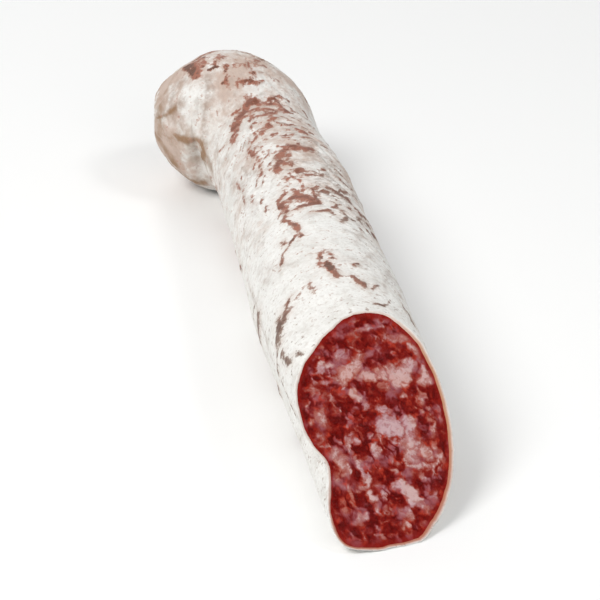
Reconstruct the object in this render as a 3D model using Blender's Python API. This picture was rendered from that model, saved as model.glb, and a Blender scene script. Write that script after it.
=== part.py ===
"""A dry-cured sausage: one end cut off at a slant, the other end hooked over to a puckered, rounded tip.

Metres, +Z up. The sausage lies on the plane z = 0 along +Y, with the cut at -Y and the hooked tip at +Y.
The origin is the bottom centre of its bounding box.

The body is a UV sphere whose rings are spread along a curved axis. A place on its surface is given by
the distance along the axis, which is 0 where the cut crosses it, and by the angle round the axis,
which is 0 on the side towards -X and a quarter turn on top.
"""

import math

import bmesh
import bpy
import numpy as np

MM = 0.001

# Where the cut crosses the axis, seen from above.
CUT_X = 4.6 * MM
CUT_Y = -97.4 * MM
# The flat face of the cut looks up by the tilt, and away from -Y towards +X by the turn.
CUT_TILT = math.radians(50.5)
CUT_TURN = math.radians(13.0)
CUTTER_SIZE = 160 * MM

# The body starts this far before the cut, and the cut removes that stretch.
STUB = 46 * MM
LENGTH = 224.5 * MM
AXIS_STEP = 0.5 * MM

# Distance along the axis (mm) and heading, in degrees turned from +Y towards -X: the end hooks over.
HEADINGS = ((-46, 1.5), (30, 0.5), (105, -2.0), (150, 0.5), (175, 4.0), (185, 15.0), (195, 38.0), (205, 62.0),
            (215, 76.0), (225, 79.0))
# Distance along the axis and radius (mm): a thick body, a thinner neck and a swollen end.
RADII = ((-46, 19.2), (-10, 19.9), (25, 20.5), (60, 20.6), (110, 19.6), (140, 19.2), (160, 18.3), (178, 18.2),
         (191, 20.7), (203, 22.2), (225, 22.2))

# The round body is pressed flat where it lies, and the neck stands off the surface a little.
SETTLED = 0.7 * MM
NECK_LIFT, NECK_PLACE, NECK_REACH = 0.8 * MM, 155 * MM, 26 * MM

# Lumps and hollows: place along the axis (mm), angle (degrees), reach (mm), spread (degrees), height (mm).
FORMS = {
    "shoulder_upper_left": (5, 30, 50, 20, 2.3),
    "groove_lower_left": (-10, -14, 42, 15, -4.0),
    "shoulder_lower_left": (-20, -47, 50, 17, 2.5),
    "flat_right": (10, 170, 45, 30, -1.0),
    "fold_inside_hook": (197, -20, 11, 32, -4.5),
    "swell_behind_hook": (196, 145, 12, 50, 2.0),
    "slope_behind_tip": (216, 130, 12, 55, -2.2),
    "swell_on_top": (62, 95, 35, 45, 0.5),
    "hollow_right": (98, 195, 24, 35, -0.8),
    "ridge_upper_right": (122, 130, 38, 24, 0.6),
    "hollow_left": (128, 22, 30, 28, -0.6),
}

# The casing is gathered at the tip: pleats run to it, and it is drawn in.
PLEATS = 9
PLEAT_DEPTH = 0.6 * MM
PLEAT_REACH = 14 * MM
PUCKER_DEPTH = 2.0 * MM
PUCKER_SPREAD = 5.5 * MM
TIP_LENGTH = 24 * MM
TIP_FULLNESS = 1.8  # 2 rounds off as an ellipse does, less is more pointed

SIDES = 48
RING_GAP = 3.0 * MM
TIP_RINGS = 11

CASING_COLOUR = (0.86, 0.83, 0.79, 1.0)
CASING_ROUGHNESS = 0.9
MEAT_COLOUR = (0.28, 0.02, 0.018, 1.0)
MEAT_ROUGHNESS = 0.35


def clear_scene():
    for obj in list(bpy.data.objects):
        bpy.data.objects.remove(obj, do_unlink=True)


def new_collection(name):
    collection = bpy.data.collections.new(name)
    bpy.context.scene.collection.children.link(collection)
    return collection


def new_material(name, colour, roughness):
    material = bpy.data.materials.new(name)
    material.diffuse_color = colour
    material.use_nodes = True
    shader = material.node_tree.nodes["Principled BSDF"]
    shader.inputs["Base Color"].default_value = colour
    shader.inputs["Roughness"].default_value = roughness
    shader.inputs["Metallic"].default_value = 0.0
    return material


def smooth_through(stations, places):
    """A smooth curve through the stations, read at the places: cubic pieces that share their slopes."""
    at, value = np.array(stations, float).T
    slope = np.gradient(value, at)
    piece = np.clip(np.searchsorted(at, places, side="right") - 1, 0, len(at) - 2)
    width = at[piece + 1] - at[piece]
    t = (places - at[piece]) / width
    start = value[piece] * (1 + 2 * t) * (1 - t) ** 2 + slope[piece] * width * t * (1 - t) ** 2
    end = value[piece + 1] * t * t * (3 - 2 * t) + slope[piece + 1] * width * t * t * (t - 1)
    return start + end


def hump(distance, reach):
    return math.exp(-((distance / reach) ** 2))


def form_height(along, angle):
    """How far the lumps and hollows lift the surface at this place."""
    height = 0.0
    for place, centre, reach, spread, rise in FORMS.values():
        apart = (math.degrees(angle) - centre + 180) % 360 - 180
        height += rise * MM * hump(along - place * MM, reach * MM) * hump(apart, spread)
    return height


class Body:
    """The sausage before it is cut: turns a place along and round it into a point."""

    def __init__(self):
        self.places = np.arange(-STUB, LENGTH + AXIS_STEP, AXIS_STEP)
        heading = np.radians(smooth_through(HEADINGS, self.places / MM))
        self.forward = np.stack([-np.sin(heading), np.cos(heading)])
        travelled = np.cumsum(self.forward, axis=1) * AXIS_STEP
        at_cut = np.searchsorted(self.places, 0.0)
        self.centre = travelled - travelled[:, [at_cut]] + [[CUT_X], [CUT_Y]]
        self.radius = smooth_through(RADII, self.places / MM) * MM

    def ring_places(self):
        """Where the rings are along the axis, closer together where the tip rounds off."""
        shoulder = LENGTH - TIP_LENGTH
        count = round((shoulder + STUB) / RING_GAP)
        straight = [-STUB + (shoulder + STUB) * i / count for i in range(count + 1)]
        turns = [math.pi / 2 * i / (TIP_RINGS + 1) for i in range(1, TIP_RINGS + 1)]
        return straight + [shoulder + TIP_LENGTH * math.sin(turn) for turn in turns]

    def point(self, along, angle):
        x, y, forward_x, forward_y, radius = (
            np.interp(along, self.places, values)
            for values in (*self.centre, *self.forward, self.radius)
        )
        from_tip = LENGTH - along
        rounding = max(0.0, 1 - from_tip / TIP_LENGTH)
        closing = (1 - rounding**TIP_FULLNESS) ** (1 / TIP_FULLNESS)
        pleat = PLEAT_DEPTH * math.cos(PLEATS * angle) * hump(from_tip, PLEAT_REACH)
        out = (radius + form_height(along, angle) + pleat) * closing
        side = math.cos(angle) * out
        drawn_in = PUCKER_DEPTH * hump(out, PUCKER_SPREAD)
        lift = NECK_LIFT * hump(along - NECK_PLACE, NECK_REACH)
        z = radius - SETTLED + lift + math.sin(angle) * out
        return (
            x - forward_y * side - forward_x * drawn_in,
            y + forward_x * side - forward_y * drawn_in,
            max(z, 0.0),
        )


def make_sausage(collection, material):
    body = Body()
    rings = body.ring_places()
    places = [-STUB, *rings, LENGTH]
    last = len(places) - 1
    sphere = bmesh.new()
    bmesh.ops.create_uvsphere(sphere, u_segments=SIDES, v_segments=last, radius=1.0)
    for vertex in sphere.verts:
        row = round(math.acos(max(-1.0, min(1.0, vertex.co.z))) / math.pi * last)
        vertex.co = body.point(places[row], math.atan2(vertex.co.y, vertex.co.x))
    bmesh.ops.recalc_face_normals(sphere, faces=sphere.faces)
    mesh = bpy.data.meshes.new("sausage")
    sphere.to_mesh(mesh)
    sphere.free()
    mesh.shade_smooth()
    mesh.materials.append(material)
    sausage = bpy.data.objects.new("sausage", mesh)
    collection.objects.link(sausage)
    return sausage


def make_cutter(collection, material, height):
    """A box whose bottom face is the cut, with its local -Z looking into the sausage."""
    mesh = bpy.data.meshes.new("slanted_cut")
    box = bmesh.new()
    bmesh.ops.create_cube(box, size=CUTTER_SIZE)
    bmesh.ops.translate(box, verts=box.verts, vec=(0, 0, CUTTER_SIZE / 2))
    box.to_mesh(mesh)
    box.free()
    mesh.materials.append(material)
    cutter = bpy.data.objects.new("slanted_cut", mesh)
    cutter.location = (CUT_X, CUT_Y, height)
    cutter.rotation_euler = (math.pi / 2 - CUT_TILT, 0, CUT_TURN)
    cutter.hide_render = True
    cutter.display_type = "WIRE"
    collection.objects.link(cutter)
    return cutter


def main():
    clear_scene()
    parts = new_collection("cured_sausage")
    cutters = new_collection("cutters")
    casing = new_material("casing", CASING_COLOUR, CASING_ROUGHNESS)
    meat = new_material("meat", MEAT_COLOUR, MEAT_ROUGHNESS)
    sausage = make_sausage(parts, casing)
    axis_height = smooth_through(RADII, np.array([0.0]))[0] * MM - SETTLED
    cutter = make_cutter(cutters, meat, axis_height)
    cut = sausage.modifiers.new("slanted_cut", "BOOLEAN")
    cut.operation = "DIFFERENCE"
    cut.solver = "EXACT"
    cut.material_mode = "TRANSFER"
    cut.object = cutter


main()
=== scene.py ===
"""The looks of a dry-cured sausage: a wrinkled casing under powdery white mould, bare brown where the mould
is rubbed off, and a slanting cut through deep red meat with pale fat.

Lengths are in millimetres until a mesh is made. A place on the casing is given by the distance along the
axis, which is 0 where the cut crosses it, and by the angle round it: 0 on the side towards -X and 90 degrees
on top. A place on the cut face is given by u, level and to the right, and v, up the slope.
"""

import itertools
import math
import random

import bpy
import numpy as np
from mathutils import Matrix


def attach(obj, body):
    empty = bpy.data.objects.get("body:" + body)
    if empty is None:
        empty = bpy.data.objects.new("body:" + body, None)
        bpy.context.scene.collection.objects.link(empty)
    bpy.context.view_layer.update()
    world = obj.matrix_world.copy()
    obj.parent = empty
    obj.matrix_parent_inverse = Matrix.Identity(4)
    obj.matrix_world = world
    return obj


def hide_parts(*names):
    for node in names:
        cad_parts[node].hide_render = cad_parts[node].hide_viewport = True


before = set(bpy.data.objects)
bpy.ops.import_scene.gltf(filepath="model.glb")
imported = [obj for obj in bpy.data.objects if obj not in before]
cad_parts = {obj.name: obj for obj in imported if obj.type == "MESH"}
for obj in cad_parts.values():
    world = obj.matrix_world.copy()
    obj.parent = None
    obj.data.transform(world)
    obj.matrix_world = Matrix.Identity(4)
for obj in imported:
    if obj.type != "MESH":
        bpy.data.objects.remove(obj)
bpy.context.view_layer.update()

MM = 0.001

# The sizes of the solid, as its source has them.
CUT_X, CUT_Y = 4.6, -97.4
CUT_TILT, CUT_TURN = math.radians(50.5), math.radians(13.0)
STUB, LENGTH, AXIS_STEP = 46.0, 224.5, 0.5
# Distance along the axis, and heading in degrees turned from +Y towards -X.
HEADINGS = ((-46, 1.5), (30, 0.5), (105, -2.0), (150, 0.5), (175, 4.0), (185, 15.0), (195, 38.0), (205, 62.0),
            (215, 76.0), (225, 79.0))
# Distance along the axis, and radius.
RADII = ((-46, 19.2), (-10, 19.9), (25, 20.5), (60, 20.6), (110, 19.6), (140, 19.2), (160, 18.3), (178, 18.2),
         (191, 20.7), (203, 22.2), (225, 22.2))
SETTLED = 0.7
NECK_LIFT, NECK_PLACE, NECK_REACH = 0.8, 155.0, 26.0
# Lumps and hollows: distance along, angle, reach, spread in degrees, and height.
FORMS = ((5, 30, 50, 20, 2.3), (-10, -14, 42, 15, -4.0), (-20, -47, 50, 17, 2.5), (10, 170, 45, 30, -1.0),
         (197, -20, 11, 32, -4.5), (196, 145, 12, 50, 2.0), (216, 130, 12, 55, -2.2), (62, 95, 35, 45, 0.5),
         (98, 195, 24, 35, -0.8), (122, 130, 38, 24, 0.6), (128, 22, 30, 28, -0.6))
PLEATS, PLEAT_DEPTH, PLEAT_REACH = 9, 0.6, 14.0
PUCKER_DEPTH, PUCKER_SPREAD = 2.0, 5.5
TIP_LENGTH, TIP_FULLNESS = 24.0, 1.8
LOWEST_CUT, HIGHEST_CUT, HALVINGS = -STUB + 1, 60.0, 40    # where along the axis the cut's edge is looked for

# The casing's grid, and the casing's thickness where it is cut.
COLUMNS, CUT_ROWS, BODY_ROWS, TIP_ROWS = 240, 178, 148, 66
CUT_REACH = 92.0      # by this distance along, the rows no longer follow the cut
CUT_FADE = 9.0        # this far behind the edge, the relief is whole again
SKIN = 0.72
RIM_CLEAN = (1, 1, 0.9, 0.35)    # how clear of mould each row of its rim is, innermost first
ROUND = 20.0          # mean radius: turns degrees round the axis into millimetres
SQUEEZE = 0.62        # distances along the axis count for less than those round it
WRINKLE_GAP = 5.4
DRIFT_ALONG, DRIFT_ROUND = 0.5, 0.38    # how far the marks wander
HALO, TAN_HALO = 2.2, 2.0               # how much wider than a mark the thin mould round it is
# How high the casing's relief stands, and how deep its marks are sunk.
WRINKLE_HEIGHT, CROSS_HEIGHT, LUMP_HEIGHT, FOLD_HEIGHT, CRUMB_HEIGHT = 0.28, 0.12, 0.22, 0.06, 0.085
GATHERS, GATHER_HEIGHT, GATHER_REACH = 17, 0.10, 7
BARE_DEPTH, TAN_DEPTH, FAINT_DEPTH = 0.22, 0.55, 0.22

# The cut face's grid, where its rings have their middle, and its mean radius.
FACE_COLUMNS, FACE_RINGS = 440, 140
FACE_MIDDLE = np.array([0.0, 1.0])
FACE_RADIUS = 22
ABOVE_FLOOR = 0.02
TUCKED = 0.5          # how far its last ring goes down behind the casing's rim

# Large odd numbers, which turn a grid corner and a seed into a random number.
HASH_X, HASH_Y, HASH_Z, HASH_SEED, HASH_LAST = 374761393, 668265263, 2147483647, 1274126177, 2246822519
LOW_32_BITS, LOW_16_BITS, LOW_8_BITS = 0xFFFFFFFF, 0xFFFF, 0xFF


def hump(distance, reach):
    """1 at no distance, and near 0 beyond twice the reach."""
    return np.exp(-((distance / reach) ** 2))


def rise(value, low, high):
    """0 up to low, 1 from high on, and smooth between them."""
    t = np.clip((value - low) / (high - low), 0, 1)
    return t * t * (3 - 2 * t)


def apart(angle, centre):
    """Degrees from the centre to the angle, the short way round."""
    return (angle - centre + 180) % 360 - 180


def noise(x, y, z, seed):
    """Smooth noise of about -1 to 1 with one lump to each unit."""
    corner = [np.floor(c).astype(np.int64) for c in (x, y, z)]
    part = [c - f for c, f in zip((x, y, z), corner)]
    fade = [p * p * p * (p * (p * 6 - 15) + 10) for p in part]
    total = 0.0
    for i, j, k in itertools.product((0, 1), repeat=3):
        h = (corner[0] + i) * HASH_X + (corner[1] + j) * HASH_Y + (corner[2] + k) * HASH_Z + seed * HASH_SEED
        h = (h ^ (h >> 13)) * HASH_SEED & LOW_32_BITS
        h = (h ^ (h >> 16)) & LOW_16_BITS
        turn, tip = (h & LOW_8_BITS) / 255 * 2 * math.pi, (h >> 8) / 255 * 2 - 1
        flat = np.sqrt(1 - tip * tip)
        slope = (flat * np.cos(turn) * (part[0] - i) + flat * np.sin(turn) * (part[1] - j)
                 + tip * (part[2] - k))
        weight = math.prod(f if step else 1 - f for f, step in zip(fade, (i, j, k)))
        total = total + slope * weight
    return total * 1.6


def noise_in(points, size, seed):
    """Noise in space with lumps of about that size."""
    return noise(*(np.moveaxis(points, -1, 0) / size), seed)


def noise_on(bar, size_round, size_along, seed):
    """Noise on the straightened body, whose lumps have one size round it and another along it."""
    x, y, z = bar
    return noise(x / size_round, y / size_round, z / size_along, seed)


def noise_flat(u, v, size, seed):
    """Noise on the cut face with lumps of about that size."""
    return noise(u / size, v / size, np.zeros_like(u), seed)


def smooth_through(stations, places):
    """A smooth curve through the stations, read at the places."""
    at, value = np.array(stations, float).T
    slope = np.gradient(value, at)
    piece = np.clip(np.searchsorted(at, places, side="right") - 1, 0, len(at) - 2)
    width = at[piece + 1] - at[piece]
    t = (places - at[piece]) / width
    start = value[piece] * (1 + 2 * t) * (1 - t) ** 2 + slope[piece] * width * t * (1 - t) ** 2
    end = value[piece + 1] * t * t * (3 - 2 * t) + slope[piece + 1] * width * t * t * (t - 1)
    return start + end


PLACES = np.arange(-STUB, LENGTH + AXIS_STEP, AXIS_STEP)
_heading = np.radians(smooth_through(HEADINGS, PLACES))
FORWARD = np.stack([-np.sin(_heading), np.cos(_heading)])
_travelled = np.cumsum(FORWARD, axis=1) * AXIS_STEP
CENTRE = _travelled - _travelled[:, [np.searchsorted(PLACES, 0.0)]] + [[CUT_X], [CUT_Y]]
RADIUS = smooth_through(RADII, PLACES)

CUT_POINT = np.array([CUT_X, CUT_Y, float(smooth_through(RADII, np.array([0.0]))[0]) - SETTLED])
CUT_NORMAL = np.array([math.sin(CUT_TURN) * math.cos(CUT_TILT), -math.cos(CUT_TURN) * math.cos(CUT_TILT),
                       math.sin(CUT_TILT)])
CUT_U = np.array([math.cos(CUT_TURN), math.sin(CUT_TURN), 0.0])
CUT_V = np.cross(CUT_NORMAL, CUT_U)


def surface(along, degrees):
    """The solid's own surface at these places."""
    x, y, forward_x, forward_y, radius = (
        np.interp(along, PLACES, values) for values in (*CENTRE, *FORWARD, RADIUS)
    )
    angle = np.radians(degrees)
    from_tip = LENGTH - along
    rounding = np.clip(1 - from_tip / TIP_LENGTH, 0, 1)
    closing = (1 - rounding**TIP_FULLNESS) ** (1 / TIP_FULLNESS)
    form = sum(height * hump(along - place, reach) * hump(apart(degrees, centre), spread)
               for place, centre, reach, spread, height in FORMS)
    pleat = PLEAT_DEPTH * np.cos(PLEATS * angle) * hump(from_tip, PLEAT_REACH)
    out = (radius + form + pleat) * closing
    side = np.cos(angle) * out
    drawn_in = PUCKER_DEPTH * hump(out, PUCKER_SPREAD)
    lift = NECK_LIFT * hump(along - NECK_PLACE, NECK_REACH)
    z = radius - SETTLED + lift + np.sin(angle) * out
    return np.stack([x - forward_y * side - forward_x * drawn_in, y + forward_x * side - forward_y * drawn_in,
                     np.maximum(z, 0)], -1)


def cut_edge(degrees):
    """How far along the axis the cut meets the surface, at each angle."""
    low, high = np.full_like(degrees, LOWEST_CUT), np.full_like(degrees, HIGHEST_CUT)
    for _ in range(HALVINGS):
        middle = (low + high) / 2
        outside = (surface(middle, degrees) - CUT_POINT) @ CUT_NORMAL > 0
        low, high = np.where(outside, middle, low), np.where(outside, high, middle)
    return high


# ---- the casing's marks: strokes through places (along, degrees), each with its width and strength

# The mould is rubbed off.
BARE = {
    "tip_patch": (1.5, 1.45, (206, 63), (209, 71), (211, 82)),
    "tip_patch_under": (1.4, 0.6, (206, 72), (207, 88)),
    "tip_patch_far": (1.2, 0.7, (210, 90), (208, 99), (206, 108)),
    "tip_spot": (1.0, 0.7, (200, 78), (201, 90)),
    "tip_streak": (0.7, 0.55, (203, 106), (198, 121)),
    "bulb_line": (0.9, 0.6, (197, 80), (194, 73), (190, 68)),
    "bulb_streak": (0.8, 0.5, (195, 86), (193, 97), (195, 121)),
    "bulb_arc": (0.7, 0.45, (190, 90), (193, 100), (191, 112)),
    "bulb_patch": (0.9, 0.65, (188, 75), (187, 84), (189, 93)),
    "bulb_dot": (0.7, 0.8, (190, 67), (192, 69)),
    "main_arc": (1.5, 1.1, (161, 45), (169, 52), (174, 63), (179, 76)),
    "main_arc_top": (1.5, 0.9, (180, 76), (176, 88), (176, 100), (171, 106)),
    "main_arc_inside": (1.0, 0.75, (173, 70), (174, 78), (171, 94)),
    "main_arc_spoke": (1.3, 0.6, (178, 72), (168, 70)),
    "main_arc_spoke_right": (1.2, 0.5, (172, 88), (161, 86)),
    "main_arc_under": (0.9, 0.75, (168, 76), (168, 94), (171, 102)),
    "second_patch": (1.1, 1.0, (153, 73), (158, 83)),
    "second_arc": (0.9, 0.9, (152, 66), (147, 57), (140, 57), (136, 60)),
    "second_arc_tail": (0.6, 0.7, (134, 60), (126, 58)),
    "second_under": (0.6, 0.6, (149, 78), (146, 88), (147, 97)),
    "third_arc": (1.4, 1.1, (123, 73), (131, 78), (137, 88)),
    "third_arc_top": (1.2, 1.3, (136, 90), (135, 108)),
    "third_arc_inside": (0.8, 0.7, (128, 81), (132, 88)),
    "round_spot": (1.0, 1.3, (119, 89), (120, 92)),
    "round_spot_tail": (0.6, 0.75, (119, 94), (117, 107)),
    "round_spot_left": (0.6, 0.5, (117, 78), (120, 84)),
    "left_grey": (0.8, 0.5, (135, 31), (126, 34), (120, 33)),
    "left_grey_low": (0.7, 0.45, (118, 41), (112, 44)),
    "dark_dots": (0.6, 0.8, (118, 80), (112, 87)),
    "fourth_outline": (0.7, 0.95, (107, 72), (103, 66), (98, 64)),
    "fourth_right": (0.6, 0.8, (108, 95), (101, 94), (95, 96)),
    "fourth_patch": (1.7, 1.15, (104, 80), (101, 80), (98, 91)),
    "fourth_fill": (1.3, 0.8, (100, 72), (101, 84)),
    "fourth_left": (1.2, 1.05, (100, 68), (96, 67)),
    "fourth_under": (0.7, 0.95, (93, 75), (95, 90), (97, 98)),
    "fourth_curl": (0.45, 0.6, (107, 96), (108, 99), (106, 103), (103, 102)),
    "fourth_curl_end": (0.45, 0.55, (101, 98), (103, 95)),
    "streak": (0.75, 0.95, (94, 67), (89, 65), (84, 69), (76, 71)),
    "streak_low": (0.55, 0.75, (77, 67), (70, 57), (64, 50)),
    "streak_spot": (0.7, 0.7, (77, 56), (75, 57)),
    "thin_line": (0.5, 0.85, (89, 86), (90, 100), (88, 105)),
    "comma": (0.7, 0.8, (91, 114), (87, 113), (83, 108)),
    "right_crease": (0.9, 1.15, (108, 108), (104, 122), (98, 134)),
    "right_spot": (0.8, 0.85, (87, 129), (82, 135)),
    "near_ring": (1.1, 0.62, (54, 76), (60, 80), (61, 85), (57, 88)),
    "near_ring_left": (0.9, 0.5, (57, 79), (52, 80)),
    "near_dark": (0.85, 1.5, (55, 83), (51, 85), (47, 86)),
    "near_dot": (0.5, 1.2, (52, 100), (53, 104)),
    "near_thread": (0.26, 0.6, (46, 87), (45, 95)),
    "near_line": (0.6, 1.45, (45, 96), (41, 102)),
    "near_line_end": (0.35, 0.55, (40, 107), (42, 114)),
    "near_curl": (0.35, 0.6, (30, 105), (30, 112), (36, 121)),
    "edge_line": (0.45, 0.85, (38, 133), (30, 141)),
    "left_speck": (0.6, 0.6, (47, 64), (42, 66)),
    "left_thread": (0.3, 0.5, (46, 60), (44, 50)),
    "left_patch": (0.7, 0.8, (45, 47), (42, 42)),
    "left_patch_middle": (1.1, 1.0, (41, 42), (38, 36)),
    "left_patch_dark": (1.2, 1.45, (38, 32), (34, 29)),
    "left_patch_side": (0.9, 0.8, (36, 35), (32, 29)),
    "left_patch_top": (0.7, 0.7, (41, 34), (38, 29)),
    "left_contour": (0.6, 0.6, (32, 24), (28, 11)),
    "left_contour_low": (0.5, 0.7, (24, 10), (8, 6)),
    "left_faint": (0.9, 0.7, (26, 27), (19, 30)),
    "left_fleck": (0.6, 0.6, (20, 36), (17, 40)),
}

# The mould is thin and yellow-brown in the creases of the hook and round the tip.
TAN = {
    "hook_crease": (1.5, 1.15, (184, 11), (190, 9), (201, 6), (213, 4)),
    "hook_corner": (1.8, 1.15, (185, 12), (181, 5), (185, -4)),
    "hook_hollow": (5.0, 0.52, (172, 0), (187, 3)),
    "beside_hook": (4.0, 0.4, (192, 2), (204, 0)),
    "tip_crease": (1.1, 0.6, (212, 2), (219, -2)),
    "tip_crease_side": (0.9, 0.5, (209, 5), (210, 14)),
    "beside_crease": (5.0, 0.42, (211, -10), (219, 2)),
    "inside_hook": (2.0, 0.6, (176, -14), (182, -28)),
    # Under the tip: tan mould with painted shade and painted warm reflection.
    "under_tip_tan_and_shade": (2.6, 0.85, (199, -48), (208, -52), (216, -56)),
    "tip_edge": (2.2, 0.7, (221, -20), (215, -36)),
    "tip_streak": (1.1, 0.8, (213, 34), (221, 22)),
    "tip_top": (1.3, 0.5, (219, 60), (214, 96)),
    "tip_side": (1.3, 0.5, (220, 44), (221, -10)),
}

# Soft grey-beige creases with mould in them, partly painted shade: the marks on the side towards +X, those
# named shade and the random ones on that side are painted fold shadow.
FAINT_AND_SHADE = {
    "right_arc_a": (1.1, 0.75, (158, 92), (156, 112)),
    "right_arc_b": (1.1, 0.65, (147, 98), (145, 115)),
    "right_arc_c": (1.0, 0.6, (153, 94), (150, 113)),
    "right_arc_d": (1.1, 0.6, (141, 100), (139, 118)),
    "right_side_a": (1.5, 1.0, (131, 112), (124, 116), (115, 112)),
    "right_side_b": (1.4, 0.8, (133, 122), (118, 124)),
    "right_side_d": (1.2, 0.7, (152, 100), (143, 118)),
    "right_side_e": (1.1, 0.7, (112, 116), (108, 132)),
    "right_side_f": (2.2, 0.5, (140, 104), (126, 104)),
    "right_side_c": (1.3, 0.65, (99, 118), (92, 130)),
    "left_streak": (1.3, 0.45, (140, 30), (121, 36), (106, 42)),
    "neck_fold": (1.5, 0.4, (150, 5), (160, 12), (176, 30)),
    "tip_side_patch": (2.2, 0.8, (212, 37), (220, 26)),
    "side_a": (0.6, 0.7, (38, 116), (45, 122)),
    "side_b": (0.9, 0.65, (56, 112), (66, 126)),
    "side_c": (0.9, 0.65, (68, 110), (80, 124)),
    "side_d": (0.8, 0.7, (48, 124), (60, 136)),
    "side_e": (0.7, 0.6, (76, 122), (72, 134)),
    "near_grey": (1.6, 0.35, (74, 30), (66, 44), (60, 60)),
    "left_shade": (1.4, 0.5, (146, 22), (136, 26), (128, 38)),
    "left_shade_low": (1.2, 0.45, (104, 24), (97, 34)),
    "main_arc_fill": (4.5, 0.32, (177, 68), (172, 84), (166, 92)),
    "purple_spot": (1.0, 0.6, (66, 32), (64, 34)),
    "ring_crease": (1.6, 0.8, (200, 60), (193, 47), (184, 20)),
    "tip_shade": (2.0, 0.7, (217, 44), (213, 62)),
    "tip_shade_low": (2.2, 0.6, (212, 20), (217, 32)),
    "left_edge": (0.7, 0.6, (84, 10), (58, 12), (36, 9)),
}

# Groups of small random marks: name, how many groups, seed, angles, distances along, and size. A mark takes
# the place of an earlier one with the same name and number.
RANDOM_BARE = (
    ("scattered", 54, 5, (142, 342), (-20, 212), 1.4),
    ("behind", 7, 15, (124, 165), (192, 216), 0.9),
    ("scattered", 26, 8, (48, 134), (92, 196), 0.6),
    ("fleck", 12, 21, (88, 118), (96, 160), 0.55),
)
RANDOM_FAINT_AND_SHADE = (
    ("left", 16, 9, (10, 50), (94, 168), 0.62),
    # On the side towards +X these are painted fold shadows.
    ("right", 14, 4, (104, 140), (32, 130), 0.8),
)


def with_random(marks, all_groups):
    """The marks, and short broken strokes in loose groups. Most run round the body and bend as its wrinkles
    do."""
    marks = dict(marks)
    for name, count, seed, angles, places, size in all_groups:
        draw = random.Random(seed)
        for group in range(count):
            along, centre = draw.uniform(*places), draw.uniform(*angles)
            for mark in range(draw.randint(1, 5)):
                start = along + draw.gauss(0, 7), centre + draw.gauss(0, 14)
                length, lean, bend = size * draw.uniform(1.0, 7.0), draw.gauss(0, 0.6), draw.uniform(-1, 3)
                points = [(start[0] + length * (t * math.sin(lean) + bend * 0.3 * t * (1 - t)),
                           start[1] + math.degrees(length * t * math.cos(lean) / ROUND))
                          for t in (0, 0.5, 1)]
                width, strength = size * draw.uniform(0.35, 1.0), draw.uniform(0.45, 1.0)
                marks[f"{name}_{group}_{mark}"] = (width, strength, *points)
    return marks


def marked(marks, along, degrees, wider=1.0):
    """How strongly the strokes mark each place: 1 in the middle of a strong one. They are broader along the
    axis than round it, as the crests of wrinkles that run round it are."""
    result = np.zeros(np.broadcast(along, degrees).shape)
    for width, strength, *stations in marks.values():
        for (place, centre), (next_place, next_centre) in zip(stations, stations[1:]):
            x, y = (along - place) * SQUEEZE, np.radians(apart(degrees, centre)) * ROUND
            step_x, step_y = (next_place - place) * SQUEEZE, math.radians(next_centre - centre) * ROUND
            t = np.clip((x * step_x + y * step_y) / (step_x**2 + step_y**2), 0, 1)
            away = np.hypot(x - t * step_x, y - t * step_y)
            result = np.maximum(result, strength * hump(away, width * wider))
    return result


def casing_grid():
    """(along, degrees) of every grid point but the pole. The first rows follow the cut, and the last close
    the tip."""
    degrees = np.arange(COLUMNS) * 360.0 / COLUMNS
    edge = cut_edge(degrees)
    share = np.linspace(0, 1, CUT_ROWS, endpoint=False)[:, None]
    rows = [edge * (1 - share) + CUT_REACH * share]
    shoulder = LENGTH - TIP_LENGTH
    rows.append(np.repeat(np.linspace(CUT_REACH, shoulder, BODY_ROWS, endpoint=False)[:, None], COLUMNS, 1))
    turn = np.linspace(0, math.pi / 2, TIP_ROWS, endpoint=False)[:, None]
    rows.append(np.repeat(shoulder + TIP_LENGTH * np.sin(turn), COLUMNS, 1))
    along = np.concatenate(rows)
    return along, np.broadcast_to(degrees, along.shape)


def grid_normals(points):
    """The grid's outward direction at each point."""
    down = np.gradient(points, axis=0)
    across = np.roll(points, -1, 1) - np.roll(points, 1, 1)
    normal = np.cross(down, across)
    normal /= np.linalg.norm(normal, axis=-1, keepdims=True) + 1e-12
    return normal


def arch(along, degrees):
    """Distance along, bent so that level lines are arches over the top, as the wrinkles are. They are
    narrower on the side towards -X."""
    off = apart(degrees, 80)
    return along + 34 * (1 - hump(off, np.where(off < 0, 38, 60)))


def straightened(along, degrees):
    """The place on a straight round bar, for patterns that run along or round the body."""
    angle = np.radians(degrees)
    return np.cos(angle) * ROUND, np.sin(angle) * ROUND, along


def wrinkles(along, degrees):
    """Ridges that run round the far part in arches: their height from -1 to 1, and how strong they are."""
    bar = straightened(along, degrees)
    top = hump(apart(degrees, 88), 55)
    far = rise(along, 80, 108) * (1 - rise(along, 194, 210))
    near = rise(along, 60, 90) * (1 - far)
    side = hump(apart(degrees, 128), 24) * rise(along, 24, 44) * (1 - far)
    phase = (arch(along, degrees) / WRINKLE_GAP + 0.8 * noise_on(bar, 8, 12, 60)
             + 0.3 * noise_on(bar, 3, 4, 62))
    patch = rise(noise_on(bar, 6, 8, 61), -0.45, 0.4)
    strength = (far * (0.12 + 0.88 * top) + 0.12 * near + 0.5 * side) * (0.15 + 0.85 * patch)
    return np.cos(2 * math.pi * phase), strength


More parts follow.
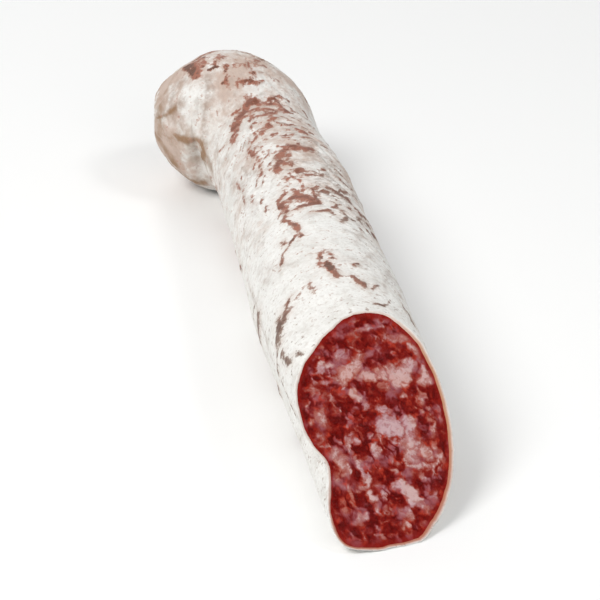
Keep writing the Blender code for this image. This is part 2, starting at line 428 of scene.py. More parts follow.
def casing_relief(points, along, degrees, bare_and_shade, tan, faint_and_shade):
    """How far each place stands out from the solid's surface."""
    bare_and_shade = np.clip(bare_and_shade, 0, 1)
    bar = straightened(along, degrees)
    arched = (bar[0], bar[1], arch(along, degrees))
    ridge, strength = wrinkles(along, degrees)
    bulb = rise(along, 176, 192)
    cross = noise_on(arched, 10, 5.2, 3)
    lumps = noise_in(points, 13, 5) + 0.7 * noise_in(points, 5.5, 6)
    folds = noise_on(bar, 5.5, 26, 7)
    crumbs = noise_in(points, 2.4, 8) + 0.7 * noise_in(points, 1.2, 10)
    from_tip = LENGTH - along
    gathers = np.cos(np.radians(degrees) * GATHERS + 3.4 * noise_on(bar, 7, 12, 9))
    height = (WRINKLE_HEIGHT * ridge * strength + CROSS_HEIGHT * cross + LUMP_HEIGHT * lumps
              + FOLD_HEIGHT * folds * (1 - 0.6 * strength) * (1 - 0.7 * bulb))
    height += CRUMB_HEIGHT * crumbs * (1 - 0.4 * bare_and_shade)
    height += GATHER_HEIGHT * gathers * hump(from_tip, GATHER_REACH) * rise(from_tip, 0.3, 3)
    height -= BARE_DEPTH * bare_and_shade + TAN_DEPTH * tan * rise(from_tip, 1, 8) + FAINT_DEPTH * faint_and_shade
    return height


def mesh_object(name, points, faces, values):
    """A smooth mesh with its per-point values, from points in millimetres."""
    mesh = bpy.data.meshes.new(name)
    mesh.from_pydata((points * MM).tolist(), [], faces)
    for key, value in values.items():
        kind, field = ("FLOAT_VECTOR", "vector") if value.ndim == 2 else ("FLOAT", "value")
        attribute = mesh.attributes.new(key, kind, "POINT")
        attribute.data.foreach_set(field, value.astype(np.float32).ravel())
    mesh.shade_smooth()
    mesh.update()
    obj = bpy.data.objects.new(name, mesh)
    bpy.context.scene.collection.objects.link(obj)
    return obj


def grid_faces(rows, columns):
    """The faces of a grid that closes round, as rows of four point numbers."""
    index = np.arange(rows * columns).reshape(rows, columns)
    right = np.roll(index, -1, 1)
    return np.stack([index[:-1], index[1:], right[1:], right[:-1]], -1).reshape(-1, 4).tolist()


def casing_marks(points, along, degrees):
    """How bare, how tan, and how much faint crease and painted shade each place has, each with the strokes as
    they are, and then bare and tan again with wider strokes."""
    # The strokes wander a little and break up.
    drift = [2.0 * noise_in(points, 6, seed) + 1.1 * noise_in(points, 2.2, seed + 1)
             + 0.7 * noise_in(points, 1.0, seed + 4) for seed in (20, 22)]
    placed = along + drift[0] * DRIFT_ALONG, degrees + np.degrees(drift[1] * DRIFT_ROUND / ROUND)
    bare_marks = with_random(BARE, RANDOM_BARE)
    bare_and_shade = marked(bare_marks, *placed)
    halo = marked(bare_marks, *placed, wider=HALO)
    tan = marked(TAN, *placed)
    tan_wide = marked(TAN, *placed, wider=TAN_HALO)
    faint_and_shade = marked(with_random(FAINT_AND_SHADE, RANDOM_FAINT_AND_SHADE), *placed)

    # The very tip is tan, in rays between its pleats.
    rays = np.cos(np.radians(degrees) * PLEATS + math.pi + 1.2 * noise_in(points, 6, 38))
    uneven = 0.5 + 0.5 * rise(noise_in(points, 5, 39), -0.5, 0.6)
    tan = np.maximum(tan, hump(LENGTH - along, 5.5) * (0.42 + 0.30 * rays * uneven))
    tan_wide = np.maximum(0.62 * tan_wide, tan)

    # The valleys between the wrinkles are darkened: partly bare casing, partly painted shade. They also get
    # faint grey as painted shade, most on the side towards +X.
    broken = noise_in(points, 2.2, 31) + 0.8 * noise_in(points, 1.0, 32)
    bare_and_shade = bare_and_shade * (0.96 + 0.45 * broken)
    ridge, strength = wrinkles(along, degrees)
    shaded_valley = rise(-ridge, 0.15, 1.0) * rise(strength, 0.15, 0.8)
    spread = rise(noise_on(straightened(along, degrees), 5, 7, 33) + 0.5 * broken, 0.0, 0.7)
    bare_and_shade = np.maximum(bare_and_shade, 0.80 * shaded_valley * spread * (1 - 0.5 * rise(along, 182, 190)))
    patchy = rise(noise_in(points, 4, 34) + 0.4 * broken, -0.3, 0.5)
    faint_and_shade = np.maximum(faint_and_shade, (0.6 + 0.4 * hump(apart(degrees, 106), 20)) * shaded_valley * patchy)
    return bare_and_shade, tan, faint_and_shade, halo, tan_wide


def mould_cover(points, along, degrees):
    """How thin the mould is, with painted shade and painted warm reflection counted in, and how warm the
    casing's colour under it, from 0 to 1.
    """
    # It thins over the arched wrinkles and down both sides. The beige on the side towards +X is painted warm
    # reflection and shade.
    arches = rise(along, 100, 140) * (1 - rise(along, 190, 200)) * hump(apart(degrees, 96), 40)
    bulb = rise(along, 178, 194)
    low_left = rise(along, 95, 135) * hump(apart(degrees, 15), 32) * (1 - bulb)
    right = hump(apart(degrees, 152), 30)
    far_side = hump(apart(degrees, 220), 75)
    # On the hooked end it thins towards the tip, low down and on top, but not in one white spot. This is
    # partly thinner mould and partly painted shade towards the bulb's edges, with painted warm reflection low
    # down.
    white_spot = hump(along - 204, 14) * hump(apart(degrees, 35), 33)
    worn_and_shaded = bulb * (0.34 * rise(along, 207, 220)
                   + 0.42 * hump(apart(degrees, -30), 34) * rise(along, 196, 212)
                   + (0.30 + 0.38 * rise(along, 200, 214)) * hump(apart(degrees, 74), 26))
    thin_and_shaded = (0.05 + 0.08 * rise(along, 60, 130) + 0.24 * arches + 0.14 * bulb * (1 - white_spot)
            + worn_and_shaded * (1 - 0.5 * white_spot) + 0.08 * low_left + 0.10 * far_side + 0.10 * right)
    clouds = noise_in(points, 9, 35) + 0.7 * noise_in(points, 3.6, 36) + 0.5 * noise_in(points, 1.6, 37)
    thin_and_shaded = np.clip(thin_and_shaded * (1 + 0.8 * clouds) + (0.06 + 0.14 * rise(along, 50, 90)) * clouds, 0, 1)

    # It is warm on the far part and on top, and cooler on the side towards +X.
    warm = np.maximum(rise(along, 75, 150), rise(along, 15, 55) * hump(apart(degrees, 78), 34))
    cooler = 0.6 * rise(degrees, 100, 122) * (1 - rise(degrees, 150, 190))
    warm = np.clip(warm * (1 - cooler) + 0.3 * noise_in(points, 7, 40), 0, 1)
    return thin_and_shaded, warm


def with_edge_on_cut(points, along):
    """The points with their first row back on the plane of the cut, and the rows behind following less and
    less."""
    axis = np.stack([np.interp(along, PLACES, FORWARD[0]), np.interp(along, PLACES, FORWARD[1]),
                     np.zeros_like(along)], -1)
    off = (points[0] - CUT_POINT) @ CUT_NORMAL
    shift = -off / (axis[0] @ CUT_NORMAL)
    fade = 1 - rise(along - along[0], 0, CUT_FADE)
    points = points + axis * (shift * fade)[..., None]
    points[..., 2] = np.maximum(points[..., 2], 0)
    return points


def casing_rim(edge):
    """The casing's own thickness, which shows on the cut as a thin rim and turns down behind the meat: its
    rows of points, innermost first, how much it faces +X and how low it is at each point of the edge, and
    the outline for the meat."""
    on_face = np.stack([(edge - CUT_POINT) @ CUT_U, (edge - CUT_POINT) @ CUT_V], -1)
    tangent = np.roll(on_face, -1, 0) - np.roll(on_face, 1, 0)
    inward = np.stack([-tangent[:, 1], tangent[:, 0]], -1)
    inward /= np.linalg.norm(inward, axis=1, keepdims=True)
    inward *= np.sign(-(inward * on_face).sum(1).mean())
    right = rise(on_face[:, 0] / 22 - on_face[:, 1] / 70, 0.0, 0.75)
    low = rise(-on_face[:, 1], -2, 26)
    # It is thickest on the side towards +X and below.
    uneven = 0.35 * noise_flat(on_face[:, 0], on_face[:, 1], 5, 12)
    skin = (SKIN * (1 + uneven + 0.75 * right + 0.15 * low))[:, None]
    # Each row of the rim goes this far in from the edge and this far under the plane of the cut.
    rows = []
    for into, under in ((skin * 0.2, -0.02), (skin * 0.6, 0.02), (skin, 0.08), (skin + 0.1, 0.7)):
        flat = on_face + inward * into
        rows.append(CUT_POINT + flat[:, :1] * CUT_U + flat[:, 1:] * CUT_V - CUT_NORMAL * under)
    rim = np.stack(rows[::-1])
    rim[..., 2] = np.maximum(rim[..., 2], 0)
    return rim, right, low, on_face + inward * skin * 0.8


def make_casing():
    """The casing, and the outline that it leaves for the meat."""
    along, degrees = casing_grid()
    points = surface(along, degrees)
    bare_and_shade, tan, faint_and_shade, halo, tan_wide = casing_marks(points, along, degrees)
    thin_and_shaded, warm = mould_cover(points, along, degrees)
    height = casing_relief(points, along, degrees, bare_and_shade, tan, faint_and_shade)
    moved = with_edge_on_cut(points + grid_normals(points) * height[..., None], along)
    rim, right, low, outline = casing_rim(moved[0])
    everything = np.concatenate([rim, moved])
    rows = everything.shape[0]

    pole = surface(np.array([LENGTH]), np.array([0.0]))[0]
    flat_points = np.concatenate([everything.reshape(-1, 3), [pole]])
    faces = grid_faces(rows, COLUMNS)
    last = (rows - 1) * COLUMNS
    faces += [(last + c, len(flat_points) - 1, last + (c + 1) % COLUMNS) for c in range(COLUMNS)]

    def per_point(values, on_rim, at_pole):
        padded = np.concatenate([np.broadcast_to(on_rim, (len(rim), COLUMNS)), values])
        return np.append(padded.ravel(), at_pole)

    nowhere = np.zeros_like(along)
    bar = straightened(along, degrees)
    values = {
        "bare_and_shade": per_point(np.clip(bare_and_shade, 0, 1.5), 0, 0),
        "halo": per_point(np.clip(halo, 0, 1), 0, 0),
        "tan": per_point(np.clip(tan_wide, 0, 1), 0, 1),
        "faint_and_shade": per_point(np.clip(faint_and_shade, 0, 1), 0, 0),
        "thin_and_shaded": per_point(thin_and_shaded, 0, 0.6),
        "warm": per_point(warm, 0, 1),
        "ruddy": per_point(rise(along, 70, 95) * (1 - rise(along, 184, 194)), 0, 0),
        "lip": per_point(nowhere, np.array(RIM_CLEAN)[:, None], 0),
        "right": per_point(nowhere, right[None], 0),
        "low": per_point(nowhere, low[None], 0),
        "straight": np.stack([per_point(value, value[0], at_pole) * MM
                              for value, at_pole in zip(bar, (0, 0, LENGTH))], -1),
    }
    return mesh_object("casing", flat_points, faces, values), outline


# ---- the cut face: pieces of fat, each at (u, v), with its half size along u and along v before it is
# turned, the turn in degrees, and how pale it is

FAT = (
    (10, 14, 3.4, 3.3, 0, 1.0), (14, 16, 2.2, 1.8, -50, 0.9), (17, 12, 1.6, 2.5, -20, 0.9),
    (6, 15, 1.4, 1.7, 20, 0.75), (3, 1, 3.5, 2.8, -15, 1.0), (8, 1, 2.1, 2.3, 20, 0.85),
    (3, 5, 2.7, 1.2, -20, 0.5), (7, -6, 2.9, 4.8, -10, 0.65), (10, -8, 1.6, 2.6, 15, 0.6),
    (6, -11, 2.4, 1.0, -14, 0.7), (3, -19, 1.9, 4.6, 25, 0.8), (0, -15, 1.7, 1.9, 20, 0.6),
    (0, -23, 2.0, 2.0, 0, 0.55), (-2, 18, 5.0, 1.9, 30, 0.78), (2, 15, 1.6, 2.2, 25, 0.85),
    (-3, 22, 1.8, 1.8, 0, 0.5), (2, 21, 2.6, 1.4, 10, 0.4), (-3, 11, 2.4, 1.6, -35, 0.75),
    (-9, 20, 2.8, 1.2, 14, 0.6), (-10, 16, 1.6, 0.9, 0, 0.5), (-14, 15, 2.0, 1.7, -30, 0.4),
    (-14, 7, 2.0, 2.8, 12, 0.6), (-13, -4, 2.8, 2.0, -30, 0.55), (-9, -2, 0.9, 3.0, 0, 0.6),
    (-8, -8, 1.0, 3.4, 5, 0.8), (-8, -12, 1.0, 2.4, -10, 0.65), (-8, -16, 1.4, 2.5, 10, 0.6),
    (-3, -5, 1.2, 2.2, 0, 0.55), (-5, 1, 0.6, 2.0, 0, 0.35), (-15, -11, 1.0, 2.8, 8, 0.4),
    (-16, -17, 0.9, 2.8, 0, 0.4), (-13, -14, 0.8, 2.5, 10, 0.45), (-12, -21, 2.0, 1.3, 15, 0.5),
    (-15, -26, 0.8, 0.6, 0, 0.35), (-6, -23, 1.0, 0.6, 20, 0.4), (-2, -26, 1.2, 0.8, -40, 0.5),
    (14, 7, 0.8, 2.6, 5, 0.5), (14, -2, 1.0, 2.5, -5, 0.45), (17, 0, 0.6, 1.6, -10, 0.35),
    (13, 24, 3.8, 1.7, -20, 0.45), (17, 19, 1.4, 2.8, 0, 0.5), (6, 28, 3.0, 0.7, -4, 0.5),
    (1, 26, 1.8, 1.6, 30, 0.4), (3, 31, 1.3, 0.8, 10, 0.45), (6, 11, 1.6, 2.0, 0, 0.45),
    (-9, 11, 1.2, 0.8, 10, 0.4), (-16, 12, 0.6, 0.8, 0, 0.4), (13, -7, 0.9, 1.8, 0, 0.35),
    (11, -12, 0.8, 2.2, -35, 0.4), (-1, 8, 0.7, 1.8, -10, 0.45), (3, -26, 1.0, 0.6, 10, 0.3),
    (1, -8, 0.8, 1.6, 20, 0.35), (4, -6, 0.7, 2.0, 10, 0.35), (-8, 4, 1.3, 0.7, 20, 0.3),
)


def blobs(u, v, size, seed):
    """Rounded soft pieces about that far apart: how near the middle of a piece a place is, from 0 to 1, and a
    random number of that piece."""
    column, row = np.floor(u / size).astype(np.int64), np.floor(v / size).astype(np.int64)
    best, value = np.zeros(u.shape), np.zeros(u.shape)
    for i, j in itertools.product((-1, 0, 1), repeat=2):
        h = ((column + i) * HASH_X + (row + j) * HASH_Y + seed * HASH_SEED) & LOW_32_BITS
        h = ((h ^ (h >> 13)) * HASH_SEED) & LOW_32_BITS
        h = ((h ^ (h >> 15)) * HASH_LAST) & LOW_32_BITS
        chance = [((h >> shift) & LOW_8_BITS) / 255 for shift in (0, 8, 16, 24)]
        away = np.hypot(u / size - (column + i + chance[0]), v / size - (row + j + chance[1]))
        here = (1 - rise(away, 0.05, 0.35 + 0.45 * chance[3])) * (chance[2] > 0.45)
        value = np.where(here > best, chance[2], value)
        best = np.maximum(best, here)
    return best, value


def layered(u, v, size, seed, layers=3, fading=0.6):
    """Noise with finer and fainter layers, from about -1 to 1."""
    return sum(fading**k * noise_flat(u, v, size / 2**k, seed + k) for k in range(layers)) / 1.2


def marbling(u, v, ring):
    """How pale each place on the cut face is, then where it leans to lilac, where it is bright red, partly as
    a painted glint, and the cloudy unevenness of the fat. The ring is 0 in the middle and 1 at the edge."""
    # The places are stirred before each piece is measured, so that the pieces have ragged outlines.
    stir_u, stir_v = (
        start + 1.1 * noise_flat(u, v, 3.4, coarse) + 0.75 * noise_flat(u, v, 1.5, middling)
        + 0.3 * noise_flat(u, v, 0.7, fine)
        for start, coarse, middling, fine in ((u, 40, 41, 46), (v, 42, 43, 47))
    )
    fat = np.zeros_like(u)
    for at_u, at_v, half_u, half_v, turned, paleness in FAT:
        cos, sin = math.cos(math.radians(turned)), math.sin(math.radians(turned))
        du, dv = stir_u - at_u, stir_v - at_v
        reach = np.sqrt(((du * cos + dv * sin) / half_u) ** 2 + ((dv * cos - du * sin) / half_v) ** 2)
        fat = np.maximum(fat, paleness * (1 - rise(reach, 0.35, 1.55)))
    # Between the large pieces lie smaller ones, longer down the face than across it.
    lean_u, lean_v = stir_u + 0.25 * stir_v, stir_v * 0.7
    medium, medium_tone = blobs(lean_u, lean_v, 2.9, 70)
    little, little_tone = blobs(lean_u + 3, lean_v, 1.5, 71)
    crowd = rise(layered(u, v, 6.5, 72), -0.25, 0.45)
    fat = np.maximum(fat, 0.62 * medium * medium_tone * (0.35 + 0.65 * crowd))
    fat = np.maximum(fat, 0.58 * little * little_tone * (0.45 + 0.55 * crowd))
    cloudy = layered(stir_u, stir_v * 0.85, 2.6, 44)
    pale = (fat * (1 + 0.45 * cloudy) + 0.20 * layered(stir_u, stir_v * 0.75, 3.6, 48, 4, 0.65)
            + 0.10 * noise_flat(u, v, 7, 56))
    # Spread evenly from 0, the darkest of the face, to 1, the palest. A place counts by the area it has.
    area = ring.ravel()
    order = np.argsort(pale, axis=None)
    rank = np.empty(u.size)
    rank[order] = np.cumsum(area[order]) / area.sum()
    pale = rank.reshape(u.shape)
    lilac = rise(layered(u, v, 4.5, 58), -0.1, 0.5) * hump(pale - 0.62, 0.30)
    # Bright orange-red round the fat: partly bright meat, partly a painted glint.
    bright_and_glint = rise(layered(stir_u, stir_v, 2.4, 57), 0.0, 0.5) * hump(pale - 0.50, 0.22)
    return pale, lilac, bright_and_glint, cloudy


def make_meat(outline):
    """The cut face as a fine disc: rings from the middle out to the casing."""
    turn = np.linspace(0, len(outline), FACE_COLUMNS, endpoint=False)
    closed = np.concatenate([outline, outline[:1]])
    edge = np.stack([np.interp(turn, np.arange(len(closed)), closed[:, k]) for k in (0, 1)], -1)
    share = np.linspace(0, 1, FACE_RINGS + 1)[1:, None, None]
    flat = FACE_MIDDLE + (edge - FACE_MIDDLE) * share
    u, v = flat[..., 0], flat[..., 1]
    ring = np.broadcast_to(share[..., 0], u.shape)
    pale, lilac, bright_and_glint, cloudy = marbling(u, v, ring)
    # The fat ends before the edge.
    to_edge = (1 - ring) * FACE_RADIUS
    pale = pale * (0.35 + 0.65 * rise(to_edge, 0.1, 1.6))

    # The face sinks a little to its edge.
    swell = 0.16 * noise_flat(u, v, 3.4, 50) + 0.12 * cloudy + 0.22 * pale - 0.18
    swell = swell * rise(to_edge, 0, 1.6) - 0.10 * (1 - rise(to_edge, 0, 0.9))
    points = CUT_POINT + u[..., None] * CUT_U + v[..., None] * CUT_V + swell[..., None] * CUT_NORMAL
    points[..., 2] = np.maximum(points[..., 2], ABOVE_FLOOR)

    # One more ring goes down behind the rim, so that no gap shows.
    tucked = points[-1] - CUT_NORMAL * TUCKED
    tucked[:, 2] = np.maximum(tucked[:, 2], ABOVE_FLOOR)
    everything = np.concatenate([points, tucked[None]])
    centre = CUT_POINT + FACE_MIDDLE[0] * CUT_U + FACE_MIDDLE[1] * CUT_V
    flat_points = np.concatenate([everything.reshape(-1, 3), [centre]])
    faces = [face[::-1] for face in grid_faces(FACE_RINGS + 1, FACE_COLUMNS)]
    faces += [((c + 1) % FACE_COLUMNS, c, len(flat_points) - 1) for c in range(FACE_COLUMNS)]

    def per_point(values):
        return np.append(np.concatenate([values, values[-1:]]).ravel(), values[0, 0])

    values = {"pale": per_point(pale), "lilac": per_point(lilac), "bright_and_glint": per_point(bright_and_glint),
              "to_edge": per_point(rise(to_edge, 0, 2.0))}
    return mesh_object("meat", flat_points, faces, values)


# ---- materials

def srgb(red, green, blue):
    """A linear colour from 0-255 screen values."""
    linear = [c / 255 / 12.92 if c <= 10 else ((c / 255 + 0.055) / 1.055) ** 2.4 for c in (red, green, blue)]
    return (*linear, 1.0)


def grey(value):
    """A number as a colour, so that colour nodes can mix it."""
    return (value, value, value, 1.0)


# A Mix node's sockets for colours.
MIX_FACTOR, MIX_FROM, MIX_TO, MIX_RESULT = 0, 6, 7, 2


class Nodes:
    """Short calls for building a material's node tree."""

    def __init__(self, name):
        self.material = bpy.data.materials.new(name)
        self.material.use_nodes = True
        self.tree = self.material.node_tree
        self.shader = self.tree.nodes["Principled BSDF"]

    def link(self, source, socket):
        """Joins a node's output to the socket, or sets a plain number or colour on it."""
        if isinstance(source, bpy.types.NodeSocket):
            self.tree.links.new(source, socket)
        else:
            socket.default_value = source

    def settings(self, numbers):
        """Sets the shader's own sockets, by name."""
        for name, number in numbers.items():
            self.shader.inputs[name].default_value = number

    def value(self, name, output="Fac"):
        """The mesh's attribute of that name."""
        node = self.tree.nodes.new("ShaderNodeAttribute")
        node.attribute_name = name
        return node.outputs[output]

    def position(self):
        return self.tree.nodes.new("ShaderNodeTexCoord").outputs["Object"]

    def stretch(self, vector, scale):
        node = self.tree.nodes.new("ShaderNodeMapping")
        self.link(vector, node.inputs["Vector"])
        node.inputs["Scale"].default_value = scale
        return node.outputs["Vector"]

    def noise(self, vector, size, detail=3.0, roughness=0.6, distortion=0.0):
        """Noise whose lumps are about that many millimetres across."""
        node = self.tree.nodes.new("ShaderNodeTexNoise")
        self.link(vector, node.inputs["Vector"])
        node.inputs["Scale"].default_value = 1 / MM / size / 2
        node.inputs["Detail"].default_value = detail
        node.inputs["Roughness"].default_value = roughness
        node.inputs["Distortion"].default_value = distortion
        return node.outputs["Fac"]

    def math(self, operation, a, b):
        node = self.tree.nodes.new("ShaderNodeMath")
        node.operation = operation
        self.link(a, node.inputs[0])
        self.link(b, node.inputs[1])
        return node.outputs[0]

    def range(self, value, low, high, to_low=0.0, to_high=1.0):
        """Goes smoothly from to_low to to_high while the value goes from low to high."""
        node = self.tree.nodes.new("ShaderNodeMapRange")
        node.interpolation_type = "SMOOTHSTEP"
        self.link(value, node.inputs["Value"])
        for key, number in (("From Min", low), ("From Max", high), ("To Min", to_low), ("To Max", to_high)):
            node.inputs[key].default_value = number
        return node.outputs["Result"]

    def mix(self, factor, a, b):
        node = self.tree.nodes.new("ShaderNodeMix")
        node.data_type = "RGBA"
        self.link(factor, node.inputs[MIX_FACTOR])
        self.link(a, node.inputs[MIX_FROM])
        self.link(b, node.inputs[MIX_TO])
        return node.outputs[MIX_RESULT]

    def ramp(self, value, stops):
        node = self.tree.nodes.new("ShaderNodeValToRGB")
        elements = node.color_ramp.elements
        while len(elements) < len(stops):
            elements.new(0.5)
        for element, (position, colour) in zip(elements, stops):
            element.position, element.color = position, colour
        self.link(value, node.inputs["Fac"])
        return node.outputs["Color"]

    def bump(self, height, distance, strength, below=None):
        """A bump of that many millimetres, on top of the bump below."""
        node = self.tree.nodes.new("ShaderNodeBump")
        node.inputs["Strength"].default_value = strength
        node.inputs["Distance"].default_value = distance * MM
        self.link(height, node.inputs["Height"])
        if below is not None:
            self.link(below, node.inputs["Normal"])
        return node.outputs["Normal"]


MOULD_WHITE = srgb(242, 241, 237)
MOULD_GREY = srgb(204, 199, 191)
# Beige of thin mould, also used as painted shade and painted warm reflection.
MOULD_THIN_AND_SHADED = srgb(199, 174, 159)
MOULD_SHADE = srgb(160, 150, 140)
SKIN_PINK = srgb(190, 146, 128)
SKIN_RED = srgb(158, 92, 68)
SKIN_BROWN = srgb(97, 62, 45)
SKIN_UMBER = srgb(124, 70, 50)
SKIN_GREY = srgb(122, 92, 76)
SKIN_TAN = srgb(144, 106, 68)
# Grey-beige of faint creases and crumbling mould, also used as painted shade.
SKIN_FAINT_AND_SHADE = srgb(156, 134, 120)
RIM_PALE = srgb(226, 208, 198)
RIM_CREAM = srgb(190, 130, 94)
RIM_LOW = srgb(178, 102, 74)
MOULD_ROUGHNESS, SKIN_ROUGHNESS = 0.92, 0.55


def casing_material():
    n = Nodes("mould_on_casing")
    at = n.position()
    bar = n.stretch(n.value("straight", "Vector"), (1.0, 1.0, 1.2))
    powder = n.noise(at, 0.45)
    crumbs = n.noise(at, 1.0, 4.0, 0.65)
    lumps = n.noise(at, 2.8, 4.0, 0.62)
    cloud = n.noise(at, 11.0, 5.0, 0.62)
    flecks = n.noise(bar, 2.2, 4.0, 0.65, 0.4)

    # The mould, in white and grey.
    colour = n.mix(n.range(cloud, 0.45, 0.70, 0.0, 0.30), MOULD_WHITE, MOULD_GREY)
    colour = n.mix(n.range(lumps, 0.52, 0.70, 0.0, 0.34), colour, MOULD_GREY)
    colour = n.mix(n.range(crumbs, 0.54, 0.70, 0.0, 0.36), colour, MOULD_GREY)

    # The casing shows through where the mould is thin: in flecks, over whole regions, round the bare marks,
    # in the faint creases and in the tan ones. Some of the thin regions are painted shade and painted warm
    # reflection.
    colour = n.mix(n.range(flecks, 0.58, 0.76, 0.0, 0.28), colour, MOULD_THIN_AND_SHADED)
    thin_and_shaded = n.math("ADD", n.value("thin_and_shaded"), n.range(crumbs, 0.3, 0.7, -0.14, 0.14))
    colour = n.mix(n.range(thin_and_shaded, 0.04, 0.9, 0.0, 0.85), colour, MOULD_THIN_AND_SHADED)
    halo = n.math("MULTIPLY", n.value("halo"), n.range(lumps, 0.32, 0.62, 0.1, 0.9))
    colour = n.mix(n.math("MULTIPLY", halo, 0.6), colour, MOULD_THIN_AND_SHADED)
    # Faint grey creases, partly painted fold shadow and painted shade in the wrinkle valleys.
    faint_and_shade = n.math("MULTIPLY", n.value("faint_and_shade"), n.range(crumbs, 0.32, 0.62, 0.1, 0.95))
    colour = n.mix(n.math("MULTIPLY", faint_and_shade, 0.75), colour, SKIN_FAINT_AND_SHADE)
    tan = n.math("ADD", n.value("tan"), n.range(lumps, 0.25, 0.75, -0.22, 0.22))
    colour = n.mix(n.range(tan, 0.08, 1.0, 0.0, 0.92), colour, SKIN_TAN)

    # The mould breaks up into crumbs before the casing is bare, and the middle of a bare patch is darkest.
    # The bare value holds painted shade in the wrinkle valleys as well as bare casing.
    ragged = n.math("ADD", n.value("bare_and_shade"), n.range(crumbs, 0.28, 0.72, 0.34, -0.36))
    ragged = n.math("ADD", ragged, n.range(powder, 0.30, 0.70, 0.14, -0.14))
    bare_and_shade = n.range(ragged, 0.31, 0.72)
    warm = n.value("warm")
    crumbling = n.mix(warm, SKIN_FAINT_AND_SHADE, SKIN_PINK)
    colour = n.mix(n.range(ragged, 0.16, 0.44, 0.0, 0.72), colour, crumbling)
    colour = n.mix(n.math("MULTIPLY", bare_and_shade, 0.92), colour, n.mix(warm, SKIN_GREY, SKIN_RED))
    dark = n.math("ADD", ragged, n.range(n.noise(at, 2.2), 0.32, 0.64, 0.40, -0.45))
    darkest = n.mix(n.value("ruddy"), SKIN_BROWN, SKIN_UMBER)
    colour = n.mix(n.range(dark, 0.66, 1.12, 0.0, 0.88), colour, darkest)

    # The casing's rim round the cut.
    rim = n.mix(n.value("right"), RIM_PALE, RIM_CREAM)
    rim = n.mix(n.value("low"), rim, RIM_LOW)
    colour = n.mix(n.value("lip"), colour, rim)
    colour = n.mix(n.range(powder, 0.32, 0.68, 0.12, 0.0), colour, MOULD_SHADE)
    n.link(colour, n.shader.inputs["Base Color"])

    n.link(n.mix(bare_and_shade, grey(MOULD_ROUGHNESS), grey(SKIN_ROUGHNESS)), n.shader.inputs["Roughness"])
    n.settings({"Sheen Weight": 0.06, "Sheen Roughness": 0.6, "Specular IOR Level": 0.3})
    below = n.bump(lumps, 0.9, 0.7)
    below = n.bump(n.math("SUBTRACT", crumbs, n.math("MULTIPLY", bare_and_shade, 0.25)), 0.6, 0.7, below)
    n.link(n.bump(powder, 0.22, 0.5, below), n.shader.inputs["Normal"])
    return n.material


# From the darkest lean meat to the palest fat.
MEAT_TONES = ((0.00, srgb(90, 4, 2)), (0.16, srgb(112, 10, 6)), (0.36, srgb(124, 22, 15)),
              (0.55, srgb(137, 43, 33)), (0.72, srgb(156, 79, 70)), (0.87, srgb(174, 116, 109)),
              (1.00, srgb(202, 168, 165)))
MEAT_LILAC = srgb(158, 102, 112)
FAT_LILAC = srgb(188, 154, 168)
FAT_SALMON = srgb(196, 126, 104)
# Bright orange-red meat, partly a painted glint.
MEAT_BRIGHT_AND_GLINT = srgb(184, 56, 36)
MEAT_EDGE = srgb(144, 26, 16)
MOIST_ROUGHNESS, DRY_ROUGHNESS = 0.22, 0.42


def meat_material():
    n = Nodes("marbled_meat")
    at = n.position()
    fibres = n.noise(at, 1.1, 4.0, 0.65, 0.8)
    fine = n.noise(at, 0.5)
    threads = n.noise(n.stretch(at, (1.0, 0.55, 0.55)), 0.7, distortion=0.6)
    pale = n.math("ADD", n.value("pale"), n.range(fibres, 0.25, 0.75, -0.15, 0.15))
    pale = n.math("ADD", pale, n.range(fine, 0.25, 0.75, -0.06, 0.06))
    pale = n.math("ADD", pale, n.range(threads, 0.55, 0.75, 0.0, 0.14))
    colour = n.ramp(pale, MEAT_TONES)

    # Some of the fat leans to lilac and some to salmon.
    hue = n.noise(at, 5.0, 2.0, 0.5)
    lean = n.math("MULTIPLY", n.range(pale, 0.62, 0.90), n.range(hue, 0.50, 0.62, 0.0, 0.34))
    colour = n.mix(lean, colour, FAT_LILAC)
    lean = n.math("MULTIPLY", n.range(pale, 0.50, 0.75), n.range(hue, 0.36, 0.46, 0.20, 0.0))
    colour = n.mix(lean, colour, FAT_SALMON)

    # So does some of the lean meat, and some of it is bright red, partly a painted glint. All of it is plain
    # red at the edge.
    colour = n.mix(n.math("MULTIPLY", n.value("lilac"), 0.6), colour, MEAT_LILAC)
    bright_and_glint = n.math("MULTIPLY", n.value("bright_and_glint"), n.range(fibres, 0.35, 0.60, 0.15, 0.75))
    colour = n.mix(bright_and_glint, colour, MEAT_BRIGHT_AND_GLINT)
    colour = n.mix(n.range(n.value("to_edge"), 0.0, 1.0, 0.6, 0.0), colour, MEAT_EDGE)
    n.link(colour, n.shader.inputs["Base Color"])

    rough = n.mix(n.range(fibres, 0.35, 0.7), grey(MOIST_ROUGHNESS), grey(DRY_ROUGHNESS))
    n.link(rough, n.shader.inputs["Roughness"])
    n.settings({"Specular IOR Level": 0.06, "Subsurface Weight": 0.08, "Subsurface Radius": (1.0, 0.3, 0.2),
                "Subsurface Scale": 1.2 * MM})
    n.link(n.bump(fine, 0.25, 0.5, n.bump(fibres, 0.7, 0.6)), n.shader.inputs["Normal"])
    return n.material


# ---- the scene, in metres

FLOOR_HALF, FLOOR_DROP = 6.0, 0.0002
FLOOR_COLOUR, FLOOR_ROUGHNESS = srgb(250, 250, 249), 0.8
SKY_COLOUR, SKY_STRENGTH = (0.96, 0.98, 1.0, 1.0), 0.37
# Name, place, width, watts and colour of each soft light.
LIGHTS = (
    ("key", (-0.75, -0.35, 1.0), 0.7, 9.2, (1.0, 0.99, 0.98)),
    ("gloss", (0.55, -0.3, 0.85), 0.22, 1.6, (1.0, 0.99, 0.98)),
    ("front", (0.25, -1.1, 0.75), 0.8, 2.7, (1.0, 0.99, 0.98)),
    ("back", (-0.2, 1.0, 0.9), 0.9, 3.5, (1.0, 1.0, 1.0)),
)
LIT_POINT = (0.0, 0.0, 0.02)
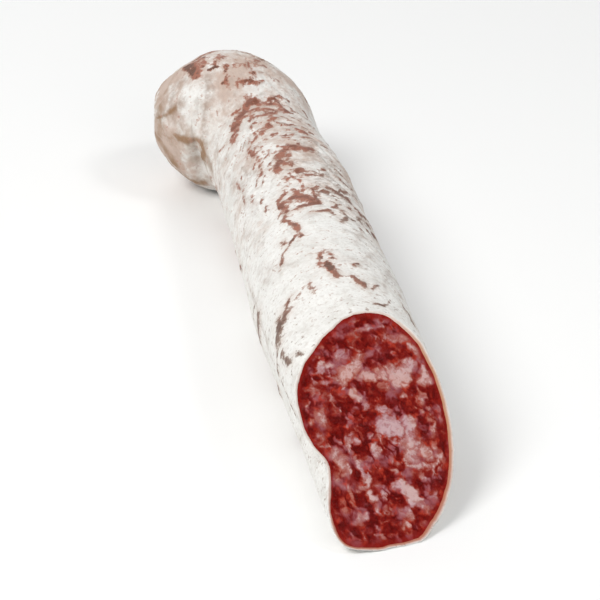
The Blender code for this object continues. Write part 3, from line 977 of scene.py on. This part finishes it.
# The camera looks down at its target, from a little to the left of the cut end.
TARGET = np.array([-2.9, -26.6, 22.0]) * MM
AZIMUTH, ELEVATION, DISTANCE = math.radians(-10.5), math.radians(27.0), 760 * MM
LENS, SENSOR, NEAREST = 166.0, 36.0, 0.01


def make_floor():
    mesh = bpy.data.meshes.new("floor")
    corners = [(x * FLOOR_HALF, y * FLOOR_HALF, 0) for x, y in ((-1, -1), (1, -1), (1, 1), (-1, 1))]
    mesh.from_pydata(corners, [], [(0, 1, 2, 3)])
    n = Nodes("pale_floor")
    n.settings({"Base Color": FLOOR_COLOUR, "Roughness": FLOOR_ROUGHNESS})
    mesh.materials.append(n.material)
    floor = bpy.data.objects.new("floor", mesh)
    floor.location.z = -FLOOR_DROP
    bpy.context.scene.collection.objects.link(floor)


def aim(obj, target):
    """Turns a light or camera towards the target, with no roll."""
    direction = np.array(target) - np.array(obj.location)
    yaw = math.atan2(direction[1], direction[0]) - math.pi / 2
    pitch = math.atan2(direction[2], math.hypot(direction[0], direction[1])) + math.pi / 2
    obj.rotation_euler = (pitch, 0, yaw)


def make_light(name, place, width, watts, colour):
    data = bpy.data.lights.new(name, "AREA")
    data.shape, data.size, data.energy, data.color = "DISK", width, watts, colour
    light = bpy.data.objects.new(name, data)
    light.location = place
    bpy.context.scene.collection.objects.link(light)
    aim(light, LIT_POINT)


def make_camera():
    back = np.array([math.sin(AZIMUTH) * math.cos(ELEVATION), -math.cos(AZIMUTH) * math.cos(ELEVATION),
                     math.sin(ELEVATION)])
    data = bpy.data.cameras.new("camera")
    data.sensor_width, data.lens, data.clip_start = SENSOR, LENS, NEAREST
    camera = bpy.data.objects.new("camera", data)
    camera.location = TARGET + back * DISTANCE
    bpy.context.scene.collection.objects.link(camera)
    aim(camera, TARGET)
    bpy.context.scene.camera = camera


def make_world():
    world = bpy.data.worlds.new("studio")
    world.use_nodes = True
    background = world.node_tree.nodes["Background"]
    background.inputs["Color"].default_value = SKY_COLOUR
    background.inputs["Strength"].default_value = SKY_STRENGTH
    bpy.context.scene.world = world


casing, meat_outline = make_casing()
meat = make_meat(meat_outline)
casing.data.materials.append(casing_material())
meat.data.materials.append(meat_material())
for piece, slot in ((casing, "casing"), (meat, "meat")):
    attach(piece, "root")
    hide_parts("sausage")

make_floor()
make_world()
for light_settings in LIGHTS:
    make_light(*light_settings)
make_camera()
bpy.context.scene.view_settings.view_transform = "Standard"
